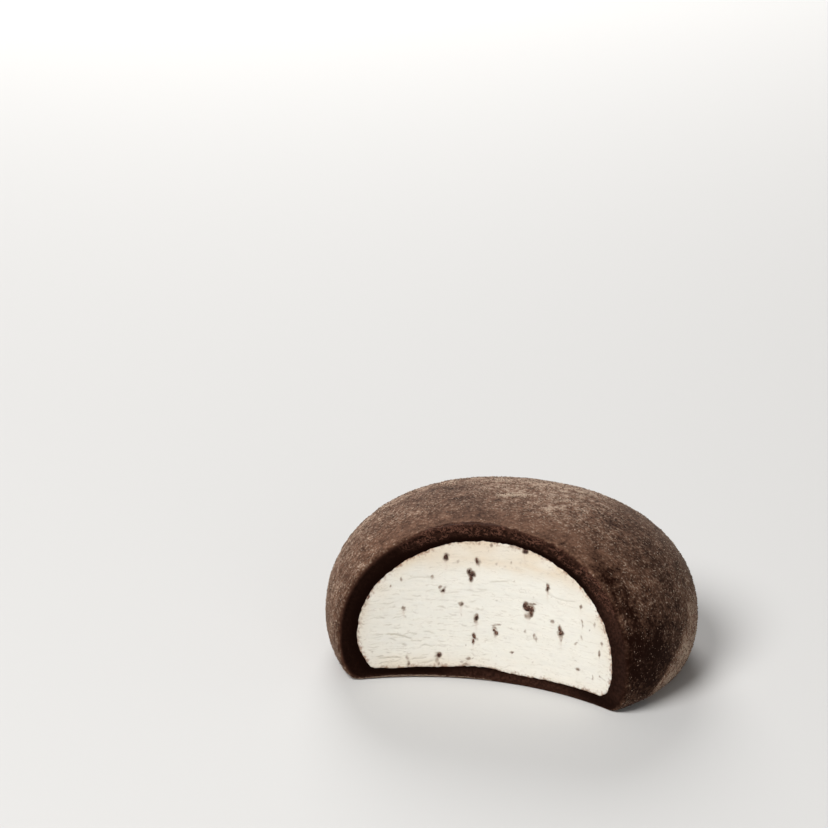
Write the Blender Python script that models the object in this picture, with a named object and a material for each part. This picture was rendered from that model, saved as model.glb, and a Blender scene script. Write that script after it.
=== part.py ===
# Mochi ice cream with a bite out of its front: a dome of rice dough round a core of ice cream.
# Metres and degrees. +Z is up, the flat foot rests on z = 0 under the dome's axis, the bite faces -Y.
import math
import random

import bmesh
import bpy
from mathutils import Matrix, Vector

# The dough's outer form
BALL_RADIUS = 0.0250
BALL_HEIGHT = 0.0226
BELLY_HEIGHT = 0.0063
FOOT_RADIUS = 0.0220
CROWN_FULLNESS = 2.26
SHOULDER_FULLNESS = 2.16

# The dough's thickness, and the form and place of the core inside it
DOUGH_AT_SIDE = 0.0026
DOUGH_AT_TOP = 0.0019
DOUGH_AT_BASE = 0.0015
CORE_BELLY_HEIGHT = 0.0061
CORE_FOOT_RADIUS = 0.0200
CORE_CROWN_FULLNESS = 2.32
CORE_SHOULDER_FULLNESS = 2.13
CORE_PLACE = (0.0001, -0.0002)
LAYER_GAP = 0.0003

# Hand-shaped unevenness: waves round the dome (count, amplitude in metres, phase in degrees),
# and how far the crown has slumped sideways
OUTLINE_WAVES = (
    (2, 0.00037, 42.0),
    (3, 0.00041, -76.0),
    (4, 0.00018, 172.0),
)
CROWN_SLUMP = (-0.00024, -0.00023)

# The bite: one hollow cut, the side of a nearly upright cylinder that stands in front of the dome
BITE_RADIUS = 0.0347
BITE_TO_AXIS = 0.0094
BITE_LEAN = 1.7
BITE_HEIGHT = 0.060
BITE_FACETS = 192

SEGMENTS = 88
FOOT_RINGS = 7
CROWN_RINGS = 17

# Biscuit crumbs that stand on the bitten face: place across, height above the foot, width, tallness, in mm
CRUMB_PROUD = 0.0004
CRUMB_SUNK = 0.0005
CRUMB_ROUGHNESS = 0.16
CRUMBS = (
    (5.1, 11.3, 1.7, 2.2),
    (-2.9, 14.9, 0.9, 1.9),
    (9.6, 8.9, 0.9, 1.8),
    (0.5, 7.3, 0.7, 1.5),
    (-2.3, 6.0, 0.6, 1.4),
    (-11.0, 3.0, 0.6, 1.3),
    (-7.1, 3.4, 0.9, 1.1),
    (6.1, 7.2, 0.7, 1.1),
    (15.4, 7.5, 0.6, 1.1),
    (-6.7, 12.7, 0.9, 1.0),
    (-2.0, 8.9, 0.7, 1.0),
    (-6.2, 17.1, 0.7, 0.9),
    (-2.1, 16.8, 0.6, 0.9),
    (12.2, 4.3, 1.0, 0.9),
    (12.0, 7.9, 0.7, 0.8),
    (8.5, 10.1, 0.7, 0.7),
    (7.7, 14.6, 0.6, 0.7),
    (12.5, 13.1, 0.6, 0.6),
    (-11.6, 10.0, 0.6, 0.7),
    (-4.2, 10.7, 0.6, 0.7),
    (-3.1, 3.0, 0.8, 0.6),
)

SEED = 7
MM = 0.001

DOUGH_COLOUR = (0.145, 0.082, 0.058, 1.0)
ICE_CREAM_COLOUR = (0.83, 0.79, 0.70, 1.0)


def clear_scene():
    for item in list(bpy.data.objects):
        bpy.data.objects.remove(item, do_unlink=True)


def make_material(name, colour, roughness):
    material = bpy.data.materials.new(name)
    material.use_nodes = True
    shader = material.node_tree.nodes["Principled BSDF"]
    shader.inputs["Base Color"].default_value = colour
    shader.inputs["Roughness"].default_value = roughness
    shader.inputs["Metallic"].default_value = 0.0
    material.diffuse_color = colour
    return material


def link_mesh(name, shape):
    mesh = bpy.data.meshes.new(name)
    shape.to_mesh(mesh)
    shape.free()
    item = bpy.data.objects.new(name, mesh)
    bpy.context.collection.objects.link(item)
    return item


def outline_wave(angle):
    return sum(size * math.cos(count * angle + math.radians(phase))
               for count, size, phase in OUTLINE_WAVES)


def dome_rings(form):
    """Radius and height of each ring, from the foot's rim over the belly to just under the crown."""
    rings = []
    for step in range(FOOT_RINGS):
        turn = 0.5 * math.pi * step / FOOT_RINGS
        radius = form["foot"] + (form["radius"] - form["foot"]) * math.sin(turn)
        height = form["base"] + (form["belly"] - form["base"]) * (1.0 - math.cos(turn))
        rings.append((radius, height))
    for step in range(CROWN_RINGS):
        turn = 0.5 * math.pi * step / CROWN_RINGS
        radius = form["radius"] * math.cos(turn) ** (2.0 / form["crown"])
        height = form["belly"] + (form["top"] - form["belly"]) * math.sin(turn) ** (2.0 / form["shoulder"])
        rings.append((radius, height))
    return rings


def dome_point(form, radius, height, angle):
    """A point of the dome's surface: its ring's radius made uneven, and the ring moved with the slump."""
    slump = (height / BALL_HEIGHT) ** 2
    reach = radius * (1.0 + outline_wave(angle) / BALL_RADIUS)
    return Vector((
        form["place"][0] + CROWN_SLUMP[0] * slump + reach * math.cos(angle),
        form["place"][1] + CROWN_SLUMP[1] * slump + reach * math.sin(angle),
        height,
    ))


def make_dome(name, form):
    shape = bmesh.new()
    loops = []
    for radius, height in dome_rings(form):
        angles = [2.0 * math.pi * step / SEGMENTS for step in range(SEGMENTS)]
        loops.append([shape.verts.new(dome_point(form, radius, height, angle)) for angle in angles])
    foot = shape.verts.new(dome_point(form, 0.0, form["base"], 0.0))
    crown = shape.verts.new(dome_point(form, 0.0, form["top"], 0.0))
    for step in range(SEGMENTS):
        after = (step + 1) % SEGMENTS
        for lower, upper in zip(loops, loops[1:]):
            shape.faces.new((lower[step], lower[after], upper[after], upper[step]))
        shape.faces.new((foot, loops[0][after], loops[0][step]))
        shape.faces.new((loops[-1][step], loops[-1][after], crown))
    return link_mesh(name, shape)


def outer_form():
    return {
        "radius": BALL_RADIUS,
        "foot": FOOT_RADIUS,
        "base": 0.0,
        "belly": BELLY_HEIGHT,
        "top": BALL_HEIGHT,
        "crown": CROWN_FULLNESS,
        "shoulder": SHOULDER_FULLNESS,
        "place": (0.0, 0.0),
    }


def core_form(grow):
    """The surface between dough and ice cream, moved outwards by grow."""
    return {
        "radius": BALL_RADIUS - DOUGH_AT_SIDE + grow,
        "foot": CORE_FOOT_RADIUS + grow,
        "base": DOUGH_AT_BASE - grow,
        "belly": CORE_BELLY_HEIGHT,
        "top": BALL_HEIGHT - DOUGH_AT_TOP + grow,
        "crown": CORE_CROWN_FULLNESS,
        "shoulder": CORE_SHOULDER_FULLNESS,
        "place": CORE_PLACE,
    }


def make_bite_cutter():
    shape = bmesh.new()
    bmesh.ops.create_cone(shape, cap_ends=True, segments=BITE_FACETS, radius1=BITE_RADIUS,
                          radius2=BITE_RADIUS, depth=BITE_HEIGHT)
    cutter = link_mesh("bite_cutter", shape)
    cutter.location = (0.0, -BITE_TO_AXIS - BITE_RADIUS, 0.0)
    cutter.rotation_euler = (-math.radians(BITE_LEAN), 0.0, 0.0)
    return cutter


def hide_guide(item):
    item.hide_render = True
    item.display_type = "WIRE"


def cut(item, cutter, name):
    modifier = item.modifiers.new(name, "BOOLEAN")
    modifier.operation = "DIFFERENCE"
    modifier.object = cutter
    modifier.solver = "EXACT"


def apply_modifiers(item):
    bpy.context.view_layer.update()
    graph = bpy.context.evaluated_depsgraph_get()
    mesh = bpy.data.meshes.new_from_object(item.evaluated_get(graph), depsgraph=graph)
    item.modifiers.clear()
    item.data = mesh


def bite_point(across, height):
    """The point of the bitten face at a sideways place and a height, and the face's outward direction."""
    lean = math.radians(BITE_LEAN)
    centre_y = -BITE_TO_AXIS - BITE_RADIUS
    behind = math.sqrt(BITE_RADIUS ** 2 - across ** 2)
    point = Vector((across, centre_y + behind + height * math.tan(lean), height))
    outward = Vector((-across, -behind, 0.0)).normalized()
    return point, outward


def make_crumb(index, entry, draw):
    across, height, width, tall = (value * MM for value in entry)
    shape = bmesh.new()
    bmesh.ops.create_icosphere(shape, subdivisions=2, radius=0.5)
    for vert in shape.verts:
        vert.co *= 1.0 + draw.uniform(-CRUMB_ROUGHNESS, CRUMB_ROUGHNESS)
    point, outward = bite_point(across, height)
    turn = outward.to_track_quat("-Y", "Z").to_matrix().to_4x4()
    spin = Matrix.Rotation(draw.uniform(0.0, 2.0 * math.pi), 4, "Y")
    size = Matrix.Diagonal((width, CRUMB_PROUD + CRUMB_SUNK, tall, 1.0))
    centre = point + outward * 0.5 * (CRUMB_PROUD - CRUMB_SUNK)
    bmesh.ops.transform(shape, matrix=Matrix.Translation(centre) @ turn @ size @ spin, verts=shape.verts)
    return link_mesh("crumb_%02d" % index, shape)


def fuse_crumbs(item):
    draw = random.Random(SEED)
    crumbs = bpy.data.collections.new("crumbs")
    bpy.context.scene.collection.children.link(crumbs)
    for index, entry in enumerate(CRUMBS):
        crumb = make_crumb(index, entry, draw)
        bpy.context.collection.objects.unlink(crumb)
        crumbs.objects.link(crumb)
    modifier = item.modifiers.new("fuse crumbs", "BOOLEAN")
    modifier.operation = "UNION"
    modifier.operand_type = "COLLECTION"
    modifier.collection = crumbs
    modifier.solver = "EXACT"
    apply_modifiers(item)
    for crumb in list(crumbs.objects):
        bpy.data.objects.remove(crumb, do_unlink=True)
    bpy.data.collections.remove(crumbs)


def shade(item, material):
    item.data.materials.clear()
    item.data.materials.append(material)
    item.data.shade_smooth()
    item.data.set_sharp_from_angle(angle=math.radians(40.0))


def build_ice_cream(cutter):
    ice_cream = make_dome("ice_cream", core_form(-0.5 * LAYER_GAP))
    cut(ice_cream, cutter, "bite")
    apply_modifiers(ice_cream)
    fuse_crumbs(ice_cream)
    shade(ice_cream, make_material("ice cream", ICE_CREAM_COLOUR, 0.55))
    return ice_cream


def build_dough(cutter):
    hollow = make_dome("core_cutter", core_form(0.5 * LAYER_GAP))
    hide_guide(hollow)
    dough = make_dome("mochi_dough", outer_form())
    shade(dough, make_material("mochi dough", DOUGH_COLOUR, 0.8))
    cut(dough, hollow, "room for the core")
    cut(dough, cutter, "bite")
    return dough


def build():
    clear_scene()
    cutter = make_bite_cutter()
    hide_guide(cutter)
    build_ice_cream(cutter)
    build_dough(cutter)


build()
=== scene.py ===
import itertools
import math

import bmesh
import bpy
import numpy as np
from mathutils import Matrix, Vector
from mathutils.kdtree import KDTree


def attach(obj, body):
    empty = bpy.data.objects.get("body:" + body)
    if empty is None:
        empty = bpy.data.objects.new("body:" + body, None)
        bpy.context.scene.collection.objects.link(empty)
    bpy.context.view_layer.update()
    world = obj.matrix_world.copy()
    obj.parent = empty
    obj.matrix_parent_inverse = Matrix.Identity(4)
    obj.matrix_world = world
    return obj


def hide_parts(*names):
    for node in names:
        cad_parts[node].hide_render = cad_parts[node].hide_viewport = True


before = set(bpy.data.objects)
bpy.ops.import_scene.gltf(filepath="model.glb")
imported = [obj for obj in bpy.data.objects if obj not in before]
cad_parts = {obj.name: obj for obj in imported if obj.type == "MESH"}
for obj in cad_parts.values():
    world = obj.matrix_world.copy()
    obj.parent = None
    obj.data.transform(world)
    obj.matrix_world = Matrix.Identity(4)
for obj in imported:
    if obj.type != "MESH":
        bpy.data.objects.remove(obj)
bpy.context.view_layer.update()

# a bitten mochi ice cream: dough, loose starch, ice cream core and biscuit crumbs
mm = 0.001

# the form of the solids again, so that each piece lies on the one it stands for
ball = {
    "radius": 25.0 * mm, "foot": 22.0 * mm, "base": 0.0, "belly": 6.3 * mm, "top": 22.6 * mm,
    "crown": 2.26, "shoulder": 2.16, "place": (0.0, 0.0),
}
core = {
    "radius": 22.15 * mm, "foot": 19.75 * mm, "base": 1.62 * mm, "belly": 6.1 * mm, "top": 20.4 * mm,
    "crown": 2.32, "shoulder": 2.13, "place": (0.1 * mm, -0.2 * mm),
}
waves = [(2, 0.37 * mm, 42.0), (3, 0.41 * mm, -76.0), (4, 0.18 * mm, 172.0)]  # count, size, phase in degrees
slump = (-0.24 * mm, -0.23 * mm)
bite = {"radius": 34.7 * mm, "toAxis": 9.4 * mm, "lean": math.radians(1.7)}
heart = np.array((0.0, 3.0 * mm, 8.0 * mm))  # a point inside, from which every surface can be seen
faceHeart = np.array((0.0, 8.5 * mm))        # the same on the bitten face: across, height


def ringReach(form, height):
    low = np.clip((height - form["base"]) / (form["belly"] - form["base"]), 0.0, 1.0)
    high = np.clip((height - form["belly"]) / (form["top"] - form["belly"]), 0.0, 1.0)
    lowReach = form["foot"] + (form["radius"] - form["foot"]) * np.sqrt(1.0 - (1.0 - low) ** 2)
    highReach = form["radius"] * (1.0 - high ** form["shoulder"]) ** (1.0 / form["crown"])
    return np.where(height < form["belly"], lowReach, highReach)


def insideDome(form, points):
    x, y, z = points[..., 0], points[..., 1], points[..., 2]
    moved = (z / ball["top"]) ** 2
    x = x - form["place"][0] - slump[0] * moved
    y = y - form["place"][1] - slump[1] * moved
    angle = np.arctan2(y, x)
    wave = sum(size * np.cos(count * angle + math.radians(phase)) for count, size, phase in waves)
    reach = ringReach(form, z) * (1.0 + wave / ball["radius"])
    return (np.hypot(x, y) < reach) & (z > form["base"]) & (z < form["top"])


def biteSurface(across, height, out=0.0):
    turn = across / bite["radius"]
    stand = bite["radius"] - out
    y = -bite["toAxis"] - bite["radius"] + stand * np.cos(turn) + height * math.tan(bite["lean"])
    return np.stack([stand * np.sin(turn), y, height + 0.0 * turn], axis=-1)


# how far to look for a surface, how often the way is halved, and in how many steps the rim is walked
search = {
    "acrossFace": 40.0 * mm, "upFace": 25.0 * mm, "acrossDome": 60.0 * mm, "halvings": 36,
    "rimSteps": 4001, "fineRimSteps": 6001,
}


def reachOf(isInside, start, heading, far):
    near = np.zeros(heading.shape[:-1])
    away = np.full(heading.shape[:-1], far)
    for step in range(search["halvings"]):
        middle = 0.5 * (near + away)
        hit = isInside(start + heading * middle[..., None])
        near = np.where(hit, middle, near)
        away = np.where(hit, away, middle)
    return 0.5 * (near + away)


def rimPoint(form, turn, grow=0.0):
    heading = np.stack([np.cos(turn), np.sin(turn)], axis=-1)

    def isInside(spots):
        return insideDome(form, biteSurface(spots[..., 0], spots[..., 1]))

    reach = reachOf(isInside, faceHeart, heading, search["acrossFace"]) + grow
    return faceHeart + heading * reach[..., None]


def bowlRows(form, rim, shares):
    start = rim - heart
    start = start / np.linalg.norm(start, axis=-1)[:, None]
    end = np.array((0.0, 1.0, 0.0))
    angle = np.arccos(np.clip(start @ end, -1.0, 1.0))[:, None, None]
    share = shares[None, :, None]
    heading = (np.sin((1.0 - share) * angle) * start[:, None] + np.sin(share * angle) * end) / np.sin(angle)
    reach = reachOf(lambda points: insideDome(form, points), heart, heading, search["acrossDome"])
    return heart + heading * reach[..., None]


# noise for shapes, about -1 to 1; sizes in mm
noiseSeeds = (11, 23, 37)
noiseGain = 1.7


def latticeNoise(seed):
    draw = np.random.default_rng(seed)
    order = draw.permutation(256)
    slopes = draw.normal(size=(256, 3))
    slopes /= np.linalg.norm(slopes, axis=1)[:, None]

    def sample(points, size):
        spot = points / (np.asarray(size) * mm)
        cell = np.floor(spot).astype(int)
        part = spot - cell
        ease = part ** 3 * (part * (part * 6.0 - 15.0) + 10.0)
        total = 0.0
        for corner in itertools.product((0, 1), repeat=3):
            key = (cell[..., 0] + corner[0]) & 255
            key = (order[key] + cell[..., 1] + corner[1]) & 255
            key = (order[key] + cell[..., 2] + corner[2]) & 255
            slope = slopes[order[key]]
            share = np.ones(part.shape[:-1])
            for axis in range(3):
                share = share * (ease[..., axis] if corner[axis] else 1.0 - ease[..., axis])
            total = total + share * (slope * (part - np.array(corner))).sum(axis=-1)
        return noiseGain * total

    return sample


noiseA, noiseB, noiseC = (latticeNoise(seed) for seed in noiseSeeds)


def layeredNoise(noises, points, layers, start=0.0):
    total = start
    for noise, (size, amount) in zip(noises, layers):
        total = total + amount * noise(points, size)
    return total


def smooth(low, high, value):
    part = np.clip((value - low) / (high - low), 0.0, 1.0)
    return part * part * (3.0 - 2.0 * part)


def zoneSum(points, zones):
    total = 0.0
    for place, spread, amount in zones:
        away = ((points / mm - np.array(place)) / np.array(spread)) ** 2
        total = total + amount * np.exp(-away.sum(axis=-1))
    return total


def meshObject(name, points, faces, material):
    mesh = bpy.data.meshes.new(name)
    mesh.from_pydata(np.asarray(points).tolist(), [], faces)
    mesh.materials.append(material)
    mesh.shade_smooth()
    mesh.update()
    piece = bpy.data.objects.new(name, mesh)
    bpy.context.scene.collection.objects.link(piece)
    return piece


def paintValue(piece, name, values):
    layer = piece.data.attributes.new(name, "FLOAT", "POINT")
    padded = np.zeros(len(piece.data.vertices), dtype=np.float32)
    padded[:values.size] = values.ravel()
    layer.data.foreach_set("value", padded)


# material helpers
def setValues(shader, values):
    for socket, value in values.items():
        shader.inputs[socket].default_value = value


def newMaterial(name, finish):
    material = bpy.data.materials.new(name)
    material.use_nodes = True
    shader = material.node_tree.nodes["Principled BSDF"]
    setValues(shader, finish)
    return material, material.node_tree, shader


def addNode(tree, kind, **values):
    node = tree.nodes.new(kind)
    for key, value in values.items():
        if key in node.inputs:
            node.inputs[key].default_value = value
        else:
            setattr(node, key, value)
    return node


def noiseNode(tree, coords, size, detail=2.0, roughness=0.55, warp=0.0):
    node = addNode(tree, "ShaderNodeTexNoise", Scale=1.0 / (size * mm), Detail=detail, Roughness=roughness,
                   Distortion=warp)
    tree.links.new(coords, node.inputs["Vector"])
    return node.outputs["Fac"]


def mathNode(tree, kind, *values):
    node = addNode(tree, "ShaderNodeMath", operation=kind)
    for socket, value in zip(node.inputs, values):
        if isinstance(value, (int, float)):
            socket.default_value = value
        else:
            tree.links.new(value, socket)
    return node.outputs[0]


def rangeNode(tree, value, low, high, toLow=0.0, toHigh=1.0):
    node = addNode(tree, "ShaderNodeMapRange", interpolation_type="SMOOTHSTEP")
    tree.links.new(value, node.inputs["Value"])
    for key, number in (("From Min", low), ("From Max", high), ("To Min", toLow), ("To Max", toHigh)):
        node.inputs[key].default_value = number
    return node.outputs["Result"]


def mixColour(tree, share, first, second):
    node = addNode(tree, "ShaderNodeMix", data_type="RGBA")
    for socket, value in ((node.inputs[0], share), (node.inputs[6], first), (node.inputs[7], second)):
        if isinstance(value, bpy.types.NodeSocket):
            tree.links.new(value, socket)
        else:
            socket.default_value = value if isinstance(value, float) else (*value, 1.0)
    return node.outputs[2]


def attributeNode(tree, name):
    return addNode(tree, "ShaderNodeAttribute", attribute_name=name).outputs["Fac"]


def objectCoords(tree):
    return addNode(tree, "ShaderNodeTexCoord").outputs["Object"]


def addBump(tree, shader, height, strength, distance):
    node = addNode(tree, "ShaderNodeBump", Strength=strength, Distance=distance)
    tree.links.new(height, node.inputs["Height"])
    tree.links.new(node.outputs["Normal"], shader.inputs["Normal"])


# camera
view = {
    "azimuth": 16.18, "elevation": 20.23, "distance": 453.2 * mm, "aim": (0.0, 0.0, 12.5 * mm),
    "right": 12.82 * mm, "down": 20.73 * mm,  # how far the piece lies from the picture's middle
    "lens": 146.92, "sensor": 36.0, "clipStart": 10.0 * mm,
}


def makeCamera():
    azimuth, elevation = math.radians(view["azimuth"]), math.radians(view["elevation"])
    back = Vector((math.sin(azimuth) * math.cos(elevation), -math.cos(azimuth) * math.cos(elevation),
                   math.sin(elevation)))
    right = Vector((math.cos(azimuth), math.sin(azimuth), 0.0))
    up = back.cross(right)
    lens = bpy.data.cameras.new("camera")
    lens.lens = view["lens"]
    lens.sensor_width = view["sensor"]
    lens.clip_start = view["clipStart"]
    camera = bpy.data.objects.new("camera", lens)
    aim = Vector(view["aim"])
    camera.location = aim + back * view["distance"] - right * view["right"] + up * view["down"]
    camera.rotation_euler = back.to_track_quat("Z", "Y").to_euler()
    bpy.context.scene.collection.objects.link(camera)
    bpy.context.scene.camera = camera


# light and floor
studio = {
    "world": {"Color": (1.0, 1.0, 1.0, 1.0), "Strength": 0.15},
    "lights": [  # name, place, size, watts
        ("key", (-0.24, -0.44, 0.58), 0.40, 6.1),
        ("fill", (0.45, -0.60, 0.25), 0.50, 1.1),
        ("back", (-0.24, 0.60, 0.36), 0.40, 4.0),
    ],
    "lightAim": (0.0, 0.0, 10.0 * mm),
    "floorSize": 4.0, "floorFinish": {"Base Color": (0.60, 0.59, 0.575, 1.0), "Roughness": 0.9},
}


def makeStudio():
    scene = bpy.context.scene
    scene.view_settings.view_transform = "Standard"
    world = bpy.data.worlds.new("studio")
    world.use_nodes = True
    setValues(world.node_tree.nodes["Background"], studio["world"])
    scene.world = world
    for name, place, size, watts in studio["lights"]:
        lamp = bpy.data.lights.new(name, "AREA")
        lamp.shape = "DISK"
        lamp.size = size
        lamp.energy = watts
        light = bpy.data.objects.new(name, lamp)
        light.location = place
        back = Vector(place) - Vector(studio["lightAim"])
        light.rotation_euler = back.to_track_quat("Z", "Y").to_euler()
        scene.collection.objects.link(light)
    half = 0.5 * studio["floorSize"]
    corners = [(-half, -half, 0.0), (half, -half, 0.0), (half, half, 0.0), (-half, half, 0.0)]
    floor = meshObject("floor", corners, [(0, 1, 2, 3)], newMaterial("pale floor", studio["floorFinish"])[0])


# mochi dough: skin, bitten edge and the wall round the core, one closed mesh
dough = {
    "columns": 560, "underShare": 0.45, "underBelow": 0.2 * mm,  # columns lie wider apart underneath
    "skinRows": 112, "rimRows": 16, "rimShare": 0.030,           # rows of the skin, the first ones close
    "bandRows": 26, "wallRows": 8, "wallGap": 0.15 * mm,         # rows of the cut and of the wall behind it
    "edgeRounds": 20, "edgeReach": 6.0,  # the bitten edge is eased this often, over this many rows
    "ragged": 0.11 * mm, "raggedRing": 17.0, "tear": 0.10 * mm, "cutGrain": 0.014 * mm,
    # where the dough laps over the core: direction, spread, mm
    "laps": [(16, 26, 0.60), (44, 16, 0.22), (146, 22, 0.42), (199, 7, 0.34), (208, 5, -0.50),
             (250, 20, 0.45), (272, 13, 0.27)],
    # where the cut starts: waves (size in mm, rows), and how far the tear runs back (across, spread, rows)
    "tearWaves": [(1.2, 2.4), (0.5, 2.6)], "sideWaves": [(1.4, 1.2), (0.45, 1.2)],
    "tornBack": [(-3.0, 7.0, 9.0), (-5.5, 4.5, 5.0)],
    # the lower edge's share is painted light from below
    "cutBrown": {"under": 0.18, "foot": 0.20, "side": 0.13, "outer": 0.03, "torn": 0.05},
    "dimples": [(7.0, 0.070 * mm), (2.2, 0.032 * mm), (1.1, 0.014 * mm)],  # size in mm, depth
    "bare": (0.0120, 0.0032, 0.0015), "film": (0.163, 0.085, 0.054), "powder": (0.42, 0.31, 0.23),
    "cut": (0.0046, 0.0010, 0.0004), "cutPale": (0.125, 0.055, 0.037), "cutEdge": (0.044, 0.0185, 0.0120),
    "mottling": {  # size in mm, detail, roughness
        "fine": (0.38, 1.0, 0.6), "middle": (1.0, 1.0, 0.5), "clusters": (1.6, 2.0, 0.7),
        "specks": (0.33, 1.0, 0.5), "pits": (0.50, 1.0, 0.5),
    },
    "finish": {
        "Roughness": 0.8, "Specular IOR Level": 0.05, "Specular Tint": (0.85, 0.60, 0.48, 1.0),
        "Sheen Weight": 0.06, "Sheen Roughness": 0.35, "Sheen Tint": (0.86, 0.72, 0.60, 1.0),
    },
    "bump": 0.6, "bumpDepth": 0.05 * mm,
}

# how much starch lies on the skin, from 0 to 1
starchCoat = {
    "everywhere": 0.47, "foot": 0.66,
    "patches": [(6.0, 0.10), (2.2, 0.12), (1.0, 0.12)],  # size in mm, amount
}
# more or less of it: place and reach in mm, amount; at the left and right outlines and across the back of the
# crown the added starch is also a painted highlight
starchAndHighlightZones = [
    ((21.5, -12.0, 5.5), (5.0, 6.5, 5.6), -0.44),
    ((21.5, -6.0, 13.0), (7.0, 8.0, 7.0), -0.20),
    ((19.5, -7.5, 16.0), (2.2, 4.0, 2.6), 0.13),
    # more starch on the right outline, also a painted highlight there
    ((23.9, 0.0, 12.0), (2.0, 4.0, 3.0), 0.15),
    ((18.0, -12.6, 13.0), (1.0, 1.6, 1.6), 0.08),
    ((16.0, -10.0, 17.6), (2.4, 2.4, 2.4), -0.16),
    ((14.7, -11.9, 17.8), (1.8, 1.5, 2.0), -0.15),
    ((15.6, -12.2, 15.5), (2.6, 1.8, 4.5), -0.12),
    ((16.5, 2.5, 19.0), (4.5, 6.0, 3.5), -0.14),
    ((18.6, -12.9, 12.5), (2.6, 2.4, 5.0), -0.26),
    ((8.0, 8.0, 21.4), (4.0, 4.0, 3.0), 0.07),
    # more starch across the back of the crown, also a painted highlight along the far outline
    ((1.0, 8.0, 22.3), (13.0, 6.0, 4.0), 0.22),
    ((-12.5, 5.5, 20.8), (4.0, 4.0, 3.0), -0.17),
    ((-9.3, 3.0, 21.4), (3.4, 4.0, 2.5), -0.12),
    ((-15.5, -4.0, 18.8), (6.0, 5.0, 4.0), -0.05),
    ((-2.5, -4.0, 22.4), (5.0, 3.0, 3.0), -0.05),
    ((5.0, -2.0, 22.4), (2.4, 2.4, 2.0), 0.14),
    ((-0.5, 6.8, 22.1), (5.5, 3.5, 2.0), 0.10),
    ((7.0, 1.6, 22.2), (4.4, 3.4, 2.2), 0.19),
    # more starch on the left outline, also a painted highlight there
    ((-23.0, 0.0, 12.0), (6.0, 10.0, 9.0), 0.19),
    ((-11.0, -8.5, 20.5), (3.0, 2.0, 2.0), 0.10),
    ((4.5, -6.0, 22.0), (4.0, 2.5, 2.0), 0.08),
    ((20.5, -9.0, 11.5), (2.5, 3.0, 2.5), 0.08),
]
# skin with small bare pits
pittedZones = [((13.0, 2.0, 20.5), (8.0, 8.0, 4.0), 1.0), ((-4.0, 1.0, 22.4), (5.0, 4.0, 2.0), 0.5),
               ((-21.0, -2.0, 14.0), (5.0, 10.0, 8.0), 0.5)]
footLine = {"y": -9.8, "z": 2.6, "slope": 0.66}  # the dusted foot at the right ends along this line


def columnTurns():
    turns = np.linspace(-0.5 * math.pi, 1.5 * math.pi, search["rimSteps"])
    rim = rimPoint(ball, turns)
    steps = np.hypot(*np.diff(rim, axis=0).T)
    under = 0.5 * (rim[1:, 1] + rim[:-1, 1]) < dough["underBelow"]
    walked = np.concatenate([[0.0], np.cumsum(np.where(under, dough["underShare"], 1.0) * steps)])
    return np.interp(np.linspace(0.0, walked[-1], dough["columns"], endpoint=False), walked, turns)


def raggedRim(turns):
    ring = dough["raggedRing"]
    spots = np.stack([np.cos(turns) * ring * mm, np.sin(turns) * ring * mm, 0.0 * turns], axis=-1)
    ragged = dough["ragged"] * (noiseA(spots, 1.3) + 0.8 * noiseB(spots, 0.55))
    for direction, spread, lap in dough["laps"]:
        away = (np.degrees(turns) - direction + 180.0) % 360.0 - 180.0
        ragged = ragged - lap * mm * np.exp(-(away / spread) ** 2)
    return ragged


def gridNormals(grid):
    along = np.gradient(grid, axis=1)
    around = np.roll(grid, -1, axis=0) - np.roll(grid, 1, axis=0)
    normal = np.cross(around, along)
    return normal / np.maximum(np.linalg.norm(normal, axis=-1), 1e-12)[..., None]


def starchCoverWithHighlight(points):
    x, y, z = points[..., 0] / mm, points[..., 1] / mm, points[..., 2] / mm
    edge = footLine["z"] + footLine["slope"] * np.clip(y - footLine["y"], -2.0, 9.0)
    above = z - edge - 0.6 * noiseA(points, 1.4)
    fadeOut = 1.0 + 0.25 * np.clip(y + 6.0, 0.0, 8.0)
    dusted = smooth(fadeOut, -0.9, above) * smooth(12.0, 20.0, x)
    dusted = dusted * smooth(-10.4, -8.4, y) * (1.0 - 0.35 * smooth(-3.0, 0.5, y))
    # a strip of the far shoulder gets more starch, partly real dusting and partly a painted highlight along
    # the outline: it slants on the left and lies behind the crown elsewhere
    slant = y - 1.23 * z
    leftRimHighlight = smooth(-22.6, -19.6, slant) * smooth(-6.0, -16.0, slant) * smooth(-5.0, -11.0, x)
    farRimHighlight = smooth(7.4, 8.8, y) * smooth(22.0, 13.0, y) * smooth(14.0, 8.0, x)
    rimHighlightStarch = np.maximum(farRimHighlight, leftRimHighlight) * smooth(10.5, 15.0, z) * (0.24 + 0.12 * smooth(-6.0, 0.0, x))
    cover = starchCoat["everywhere"] + zoneSum(points, starchAndHighlightZones) + starchCoat["foot"] * dusted + rimHighlightStarch
    cover = layeredNoise((noiseC, noiseB, noiseA), points, starchCoat["patches"], cover)
    return np.clip(cover, 0.0, 1.0)


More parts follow.
